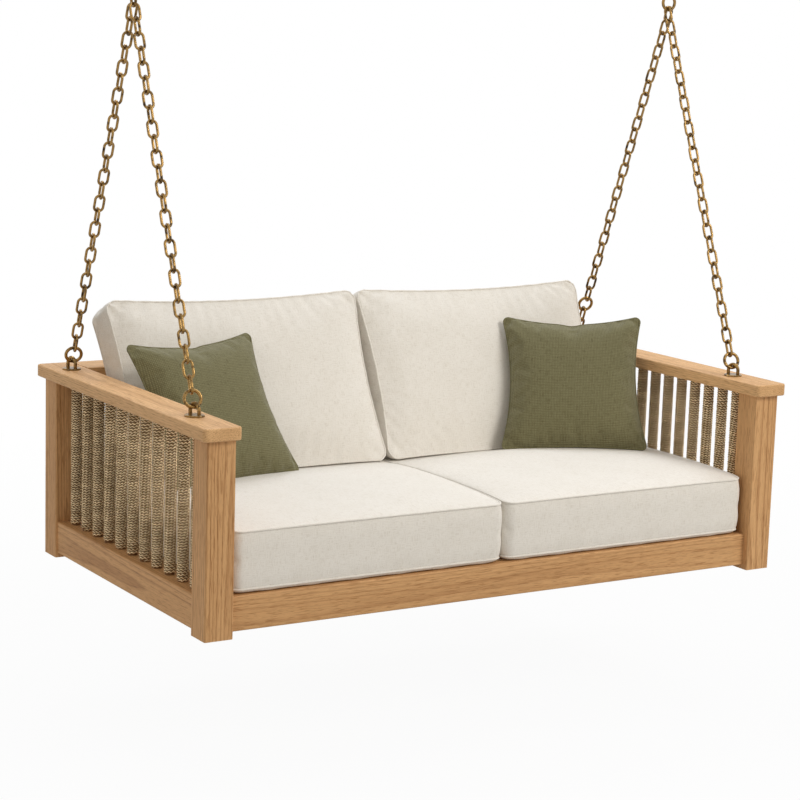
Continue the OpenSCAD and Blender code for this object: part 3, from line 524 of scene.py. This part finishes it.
class Cover:
    """A cushion's cover, cut and sewn: two panels on a grid, and a border between their seams."""

    def __init__(self, wide, tall, corner, border, front, rear, mesh_size, draw=0, foot=0,
                 puff=border_puff, rear_press=1.0):
        columns, rows = 2 * round(wide / mesh_size / 2), 2 * round(tall / mesh_size / 2)
        half_wide, half_tall = wide / 2, tall / 2
        spread = 0.4 * math.pi  # rows lie closer together towards the seams
        s, t = np.meshgrid(np.sin(np.linspace(-spread, spread, columns + 1)) / math.sin(spread),
                           np.sin(np.linspace(-spread, spread, rows + 1)) / math.sin(spread),
                           indexing="ij")
        rim = np.maximum(np.maximum(np.abs(s), np.abs(t)), 1e-9)
        x, y = sewn_edge(s / rim, t / rim, half_wide - puff, half_tall - puff, corner, draw, foot)
        x, y = x * rim, y * rim
        # a panel rises from its seams over a tenth of the way to its middle
        lift = fullness(x, y, half_wide, half_tall) * np.sqrt(np.clip((1 - rim) / 0.1, 0, 1))
        grid = np.arange(x.size).reshape(x.shape)
        seam = np.concatenate([grid[:-1, 0], grid[-1, :-1], grid[:0:-1, -1], grid[0, :0:-1]])
        flat = np.stack([x.ravel(), y.ravel()], 1)
        points = [np.column_stack([flat, (border / 2 + front * lift).ravel()])]
        faces = [np.stack([grid[:-1, :-1], grid[1:, :-1], grid[1:, 1:], grid[:-1, 1:]],
                          -1).reshape(-1, 4)]
        maps = [flat[faces[0]]]
        self.seams = [seam]
        held, last = x.size, seam
        bands = max(2, 2 * round(border / mesh_size / 2)) if border else 0
        seam_s, seam_t = (s / rim).ravel()[seam], (t / rim).ravel()[seam]
        lengths = np.linalg.norm(np.diff(flat[np.append(seam, seam[0])], axis=0), axis=1)
        run = np.concatenate([[0], np.cumsum(lengths)])
        for band in range(1, bands + 1):
            level = 1 - 2 * band / bands
            inset = puff * level ** 4
            edge_x, edge_y = sewn_edge(seam_s, seam_t, half_wide - inset, half_tall - inset,
                                       corner, draw, foot)
            count = len(edge_x)
            points.append(np.column_stack([edge_x, edge_y, np.full(count, level * border / 2)]))
            new = held + np.arange(count)
            held += count
            faces.append(np.stack([last, new, np.roll(new, -1), np.roll(last, -1)], -1))
            above = np.full(count, (level + 2 / bands) * border / 2)
            below = np.full(count, level * border / 2)
            maps.append(np.stack([np.stack([run[:-1], run[:-1], run[1:], run[1:]], -1),
                                  np.stack([above, below, below, above], -1)], -1))
            last = new
        if bands:
            self.seams.append(last)
        low = np.full(x.shape, -1)
        low.ravel()[seam] = last
        inside = low < 0
        low[inside] = held + np.arange(inside.sum())
        # the weight on it presses the under side out to its seams
        pressed = lift[inside] ** rear_press
        points.append(np.column_stack([x[inside], y[inside], -border / 2 - rear * pressed]))
        under = np.stack([low[:-1, :-1], low[:-1, 1:], low[1:, 1:], low[1:, :-1]], -1)
        faces.append(under.reshape(-1, 4))
        over = np.stack([grid[:-1, :-1], grid[:-1, 1:], grid[1:, 1:], grid[1:, :-1]], -1)
        # the under panel is cut from another part of the cloth
        maps.append(flat[over.reshape(-1, 4)] + [2.3, 1.7])
        self.points = np.concatenate(points)
        self.faces = np.concatenate(faces)
        self.maps = np.concatenate(maps)
        self.rear = low.ravel()


def fill(name, form, slack, held, most, inward, outward, spare):
    """Fills a cover as a cushion fills out. The slack cover starts a little thin, with some spare
    cloth. Its seams are held, and air pressure swells it, by no more than the most given. It then
    keeps within a small distance of its full form, inward and outward."""
    full = make_piece(name + "_full", form.points, form.faces, form.maps, off_white)
    normals = np.empty(len(form.points) * 3, np.float32)
    full.data.vertex_normals.foreach_get("vector", normals)
    normals = normals.reshape(-1, 3)
    bpy.data.objects.remove(full)
    bag = make_piece(name + "_bag", slack.points, slack.faces, slack.maps, off_white)
    sewn = bag.vertex_groups.new(name="sewn")
    sewn.add([int(i) for i in held], 1.0, "REPLACE")
    cloth = bag.modifiers.new("air", "CLOTH")
    cloth.settings.vertex_group_mass = "sewn"
    cloth.settings.quality = 4
    cloth.settings.use_pressure = True
    cloth.settings.uniform_pressure_force = air_pressure
    cloth.settings.shrink_min = -spare
    cloth.settings.effector_weights.gravity = 0
    cloth.collision_settings.use_collision = False
    cloth.point_cache.frame_start, cloth.point_cache.frame_end = 1, swelling_steps
    for step in range(1, swelling_steps + 1):
        scene.frame_set(step)
    swollen = bag.evaluated_get(bpy.context.evaluated_depsgraph_get())
    points = np.empty(len(form.points) * 3, np.float32)
    swollen.data.vertices.foreach_get("co", points)
    points = points.reshape(-1, 3).astype(float)
    bpy.data.objects.remove(bag)
    scene.frame_set(1)
    moved = points - slack.points
    far = np.maximum(np.linalg.norm(moved, axis=1), 1e-9)
    points = slack.points + moved * (most * np.tanh(far / most) / far)[:, None]
    away = np.sum((points - form.points) * normals, 1)
    print(f"{name}: cloth moved {far.max() * 1000:.0f} mm at most, stands "
          f"{away.min() * 1000:.1f} to {away.max() * 1000:.1f} mm from its form")
    return points + (np.clip(away, -inward, outward) - away)[:, None] * normals


def one_long(directions):
    """Directions in rows, each made one long."""
    return directions / np.linalg.norm(directions, axis=1)[:, None]


def add_piping(name, points, seam, outward, body, finish, out=piping_out):
    """Piping sewn into a seam, standing out of it by a little."""
    path = points[seam] + outward * out
    piece = make_piece(name, *sweep(path, outward, piping_thick, 8, True), finish)
    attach(piece, body)
    return piece


def finish_cushion(name, points, form, finish, body, node):
    """A cushion's cover, smoothed, which rides on its body and stands for its solid."""
    piece = make_piece(name, points, form.faces, form.maps, finish)
    smooth = piece.modifiers.new("smooth", "SUBSURF")
    smooth.levels = smooth.render_levels = 1
    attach(piece, body)
    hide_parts(node)
    return piece


for side, seed, aside in (("left", 0.0, -1), ("right", 2.1, 1)):
    low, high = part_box(f"seat_cushion_{side}")
    size = high - low
    middle = Vector(((low.x + high.x) / 2, (low.y + high.y) / 2,
                     low.z + seat_belly + seat_border / 2))
    form, slack = (Cover(size.x, size.y, seat_corner, seat_border, crown, seat_belly, seat_mesh,
                         rear_press=0.05) for crown in (seat_crown, seat_crown * 0.5))
    held = np.unique(np.concatenate(form.seams + [form.rear]))
    points = fill(f"seat_{side}", form, slack, held, most=0.022, inward=0.006, outward=0.001,
                  spare=0.004)
    # the loaded foam settles in long low dips, no two cushions alike
    over_seam = points[:, 2] - seat_border / 2
    top = over_seam > 0
    dips = np.sin(points[:, 0] * 9 + seed) * np.sin(points[:, 1] * 7.3 + 1.3 * seed + 1)
    points[top, 2] -= (seat_dip * (1 + dips) * np.clip(over_seam / 0.006, 0, 1))[top]
    # nothing presses on the front of the seat, and it stands up fuller there
    inward = np.clip((points[:, 1] + size.y / 2) / seat_open, 0, 1)
    plump = seat_plump * (4 * inward * (1 - inward)) ** 0.6
    points[top, 2] += (plump * fullness(points[:, 0], 0, size.x / 2, 1, seat_roundness))[top]
    points[:, 0] += aside * seat_spread * (0.5 + aside * points[:, 0] / size.x)
    # the two seats press flat against each other
    points[:, 0] = aside * np.maximum(aside * points[:, 0], -size.x / 2)
    points += middle
    # between the slats the cover hangs down a little
    under = form.rear
    gap = (points[under, 0] - slats_low.x) % slat_pitch
    within = np.clip((gap - slat_wide) / (slat_pitch - slat_wide), 0, 1)
    depth = np.clip((low.z + seat_belly - points[under, 2]) / seat_belly - 0.5, 0, 0.5) * 2
    points[under, 2] -= slat_hang * np.sqrt(4 * within * (1 - within)) * depth
    finish_cushion(f"seat_cover_{side}", points, form, off_white, f"seat_{side}",
                   f"seat_cushion_{side}")
    rim = points[form.seams[0]]
    outward = one_long((rim - rim.mean(0)) * [1, 1, 0])
    for seam, edge in zip(form.seams, ("top", "bottom")):
        add_piping(f"seat_piping_{edge}_{side}", points, seam, outward, f"seat_{side}",
                   off_white)


# ---- Back cushions ----
# Box cushions of the same linen, softer filled. Each foot stands on the seat and the body leans
# back on the back cap, so the cover bows between them and the top edge sags a little.
back_tall = 0.586
back_border = 0.118
back_crown = 0.038
back_rear = 0.058
back_corner = 0.034
back_draw = 0.016
back_mesh = 0.0105
back_lean = math.radians(26)
back_foot = 0.71198
back_spread = 0.013
back_tuck = 0.6
back_tuck_reach = 0.075
foot_drop = 0.008
back_crease = 0.0022
crease_reach = 0.034
corner_crease_reach = 0.09
# what leans and lies in the bed is laid out from its front edge and the foot of its posts
bed_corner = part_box("post_front_left")[0]
bed_front = bed_corner.y
bed_foot = bed_corner.z


def lean_back(points, base):
    """Stands a flat cushion up: its foot stays level and its body swings back with height."""
    height = points[:, 1] + back_tall / 2
    share = np.clip(height / back_tall, 0, 1)
    swing = back_lean * share ** 2 * (3 - 2 * share)
    deep = back_border / 2 - points[:, 2]
    return np.column_stack([
        points[:, 0],
        bed_front + back_foot + height * math.sin(back_lean) + deep * np.cos(swing),
        base + height * math.cos(back_lean) - deep * np.sin(swing)])


def creases(points, wide, tall, seed):
    """Soft creases that run in from the seams and the corners, where the filling pulls at the
    stitches: how far each point of a panel stands out for them, for creases a metre deep."""
    x, y = points[:, 0], points[:, 1]
    from_side, from_end = np.maximum(wide / 2 - np.abs(x), 0), np.maximum(tall / 2 - np.abs(y), 0)
    from_corner = np.hypot(from_side, from_end)

    def uneven(along, slow, quick, shift):
        return (np.sin(along * 104 + 2.1 * np.sin(along * slow + seed))
                + 0.7 * np.sin(along * quick + shift * seed))

    def near(distance, reach):
        return np.exp(-distance / reach) * (1 - np.exp(-distance / (0.25 * reach)))

    fan = np.sin(8 * np.arctan2(from_end, from_side + 1e-9) + seed + np.sign(x) + 2 * np.sign(y))
    return (uneven(x, 17, 67, 1.7) * near(from_end, crease_reach)
            + 0.6 * uneven(y, 19, 61, 2.3) * near(from_side, crease_reach)
            + 1.6 * fan * near(from_corner, corner_crease_reach))


for side, seed, aside in (("left", 0.7, -1), ("right", 3.1, 1)):
    low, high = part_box(f"back_cushion_{side}")
    width = high.x - low.x
    form, slack = (Cover(width, back_tall, back_corner, back_border, crown, back_rear, back_mesh,
                         back_draw) for crown in (back_crown, back_crown * 0.55))
    held = np.unique(np.concatenate(form.seams + [form.rear]))
    points = fill(f"back_{side}", form, slack, held, most=0.028, inward=0.012, outward=0.003,
                  spare=0.012)
    front = points[:, 2] > back_border / 2
    points[front, 2] += (back_crease * creases(points, width, back_tall, seed))[front]
    # the front tucks in above its foot, and the two cushions press flat against each other
    near_foot = np.exp(-(points[:, 1] + back_tall / 2) / back_tuck_reach)
    points[front, 2] -= (back_tuck * near_foot * (points[:, 2] - back_border / 2))[front]
    points[:, 0] += aside * back_spread * (0.5 + aside * points[:, 0] / width)
    points[:, 0] = aside * np.maximum(aside * points[:, 0], -width / 2)
    standing = lean_back(points, low.z)
    # the foot's corners follow the seat down where it falls away to its seams
    standing[:, 2] -= foot_drop * near_foot * np.abs(2 * points[:, 0] / width) ** 6
    standing[:, 0] += (low.x + high.x) / 2
    finish_cushion(f"back_cover_{side}", standing, form, off_white, f"back_{side}",
                   f"back_cushion_{side}")
    flat_out = one_long(points[form.seams[0]] * [1, 1, 0])
    for seam, edge in zip(form.seams, ("front", "rear")):
        beyond = points[seam] + flat_out * 0.001
        outward = one_long(lean_back(beyond, low.z) - lean_back(points[seam], low.z))
        add_piping(f"back_piping_{edge}_{side}", standing, seam, outward, f"back_{side}",
                   off_white)


# ---- Throw pillows ----
# Two square feather pillows in sage green slub linen, knife-edged with piping in the seam. Each
# leans on a back cushion, dented in the middle of its top edge and drawn in along its sides.
pillow_side = 0.472
pillow_half = pillow_side / 2
pillow_crown = 0.062
pillow_belly = 0.076
pillow_corner = 0.016
pillow_draw = 0.026
pillow_mesh = 0.0085
pillow_taper = 0.018
pillow_crease = 0.0022
pillow_piping_out = -0.0016
chop_deep, chop_wide = 0.010, 0.030
sage = linen("sage_linen", (132, 127, 93), (106, 101, 71), slub=0.0020, weave=0.0050,
             woven=1.0, nubbiness=0.5, relief_depth=0.0012)
# each pillow's middle, from the middle of the bed's front edge at its foot, its lean, turn and
# roll in degrees, and how broad and how high it is pulled
for side, place, lean, turn, roll, broad, high in (
        ("left", (-0.650, 0.67298, 0.516), 31, 13, 0, 1.05, 1.01),
        ("right", (0.665, 0.63198, 0.527), 29, -33, -2, 1, 1)):
    form, slack = (Cover(pillow_side, pillow_side, pillow_corner, 0, pillow_belly * share,
                         pillow_crown * share, pillow_mesh, pillow_draw, foot=0.4, puff=0)
                   for share in (1, 0.7))
    points = fill(f"pillow_{side}", form, slack, form.seams[0], most=0.022, inward=0.016,
                  outward=0.003, spare=0.03)
    # a soft chop in the top edge
    chopped = (np.exp(-(points[:, 0] / chop_wide) ** 2)
               * np.clip(points[:, 1] / pillow_half, 0, 1) ** 4)
    points[:, 1] -= chop_deep * chopped
    points[:, 2] *= 1 - 0.25 * chopped
    # the filling sinks, and the pillow stands a little broader at its foot
    points[:, 0] *= 1 - pillow_taper * points[:, 1] / pillow_half
    puckers = pillow_crease * creases(points, pillow_side, pillow_side, 1.9 * lean)
    points[:, 2] += np.sign(points[:, 2]) * puckers * np.clip(np.abs(points[:, 2]) / 0.01, 0, 1)
    points[:, 0] = pillow_half - (pillow_half - points[:, 0]) * broad
    points[:, 1] = (points[:, 1] + pillow_half) * high - pillow_half
    stand = (Matrix.Translation(Vector(place) + Vector((0, bed_front, bed_foot)))
             @ Matrix.Rotation(math.radians(turn), 4, "Z")
             @ Matrix.Rotation(math.radians(-lean), 4, "X")
             @ Matrix.Rotation(math.radians(roll), 4, "Y") @ Matrix.Rotation(math.pi / 2, 4, "X"))
    pillow = finish_cushion(f"pillow_cover_{side}", points, form, sage, f"throw_{side}",
                            f"pillow_{side}")
    seam = form.seams[0]
    trim = add_piping(f"pillow_piping_{side}", points, seam, one_long(points[seam] * [1, 1, 0]),
                      f"throw_{side}", sage, pillow_piping_out)
    for piece in (pillow, trim):
        piece.matrix_world = stand


# ---- Floor, backdrop and lamps ----
# A pale studio floor under the hanging bed, white all round it, and four broad soft lamps: from
# the right front, high on the right, from behind for the upper faces, and a weak one on the left.
floor_below = 0.42
floor_half = 20
floor_tone = 0.55
shadow_fades, shadow_ends = 2.4, 5.0
sky_colour, sky_strength = (1, 0.965, 0.89, 1), 0.49
white = (1, 1, 1, 1)
lamp_away = 8.0
lamp_wide = 2.6
lit_place = Vector((0, bed_front + 0.55, bed_foot + 0.35))


def white_shown(tree):
    """1 for what the camera sees directly, or in metal."""
    path = put(tree, "LightPath").outputs
    seen = put(tree, "Math", {0: path["Is Camera Ray"], 1: path["Is Glossy Ray"]},
               operation="MAXIMUM").outputs["Value"]
    return put(tree, "Math", {0: seen, 1: path["Is Transmission Ray"]},
               operation="MAXIMUM").outputs["Value"]


world = bpy.data.worlds.new("studio")
scene.world = world
world.use_nodes = True
tree = world.node_tree
lit = put(tree, "Background", {"Color": sky_colour, "Strength": sky_strength})
shown = put(tree, "Background", {"Color": white, "Strength": 1.0})
either = put(tree, "MixShader", {0: white_shown(tree), 1: lit.outputs[0], 2: shown.outputs[0]})
tree.links.new(either.outputs[0], tree.nodes["World Output"].inputs["Surface"])

finish, tree, surface = new_finish("pale_floor", 0.9)
surface.inputs["Base Color"].default_value = (floor_tone, floor_tone, floor_tone, 1)
glow = put(tree, "Emission", {"Color": white, "Strength": 1.0})
# only the floor close under the bed takes its shadow; farther out it is lost in white
place = put(tree, "TexCoord").outputs["Object"]
out = put(tree, "VectorMath", {0: place}, operation="LENGTH").outputs["Value"]
fade = put(tree, "MapRange", {"Value": out, "From Min": shadow_fades, "From Max": shadow_ends,
                              "To Min": 0.95, "To Max": 1.0}).outputs["Result"]
share = put(tree, "Math", {0: white_shown(tree), 1: fade}, operation="MULTIPLY").outputs["Value"]
mixed = put(tree, "MixShader", {0: share, 1: surface.outputs[0], 2: glow.outputs[0]})
tree.links.new(mixed.outputs[0], tree.nodes["Material Output"].inputs["Surface"])
reach = np.array([[-1, -1], [1, -1], [1, 1], [-1, 1]], float) * floor_half
floor = make_piece("floor", np.column_stack([reach, np.full(4, bed_foot - floor_below)]),
                   np.array([[0, 1, 2, 3]]), reach[None], finish)


def soft_lamp(name, turn, rise, power, colour):
    """A square lamp that faces the seat from a turn and a rise in degrees."""
    lamp = bpy.data.objects.new(name, bpy.data.lights.new(name, "AREA"))
    lamp.data.size, lamp.data.energy, lamp.data.color = lamp_wide, power, colour
    turn, rise = math.radians(turn), math.radians(rise)
    away = Vector((math.sin(turn) * math.cos(rise), -math.cos(turn) * math.cos(rise),
                   math.sin(rise)))
    lamp.location = lit_place + away * lamp_away
    lamp.rotation_mode = "QUATERNION"
    lamp.rotation_quaternion = away.to_track_quat("Z", "Y")
    scene.collection.objects.link(lamp)


soft_lamp("front_lamp", 32, 35, 245, (1.0, 0.975, 0.93))
soft_lamp("side_lamp", 90, 62, 126, (0.86, 0.91, 1.0))
soft_lamp("back_lamp", 180, 55, 220, (0.86, 0.91, 1.0))
soft_lamp("left_lamp", -80, 20, 25, (1.0, 0.93, 0.83))
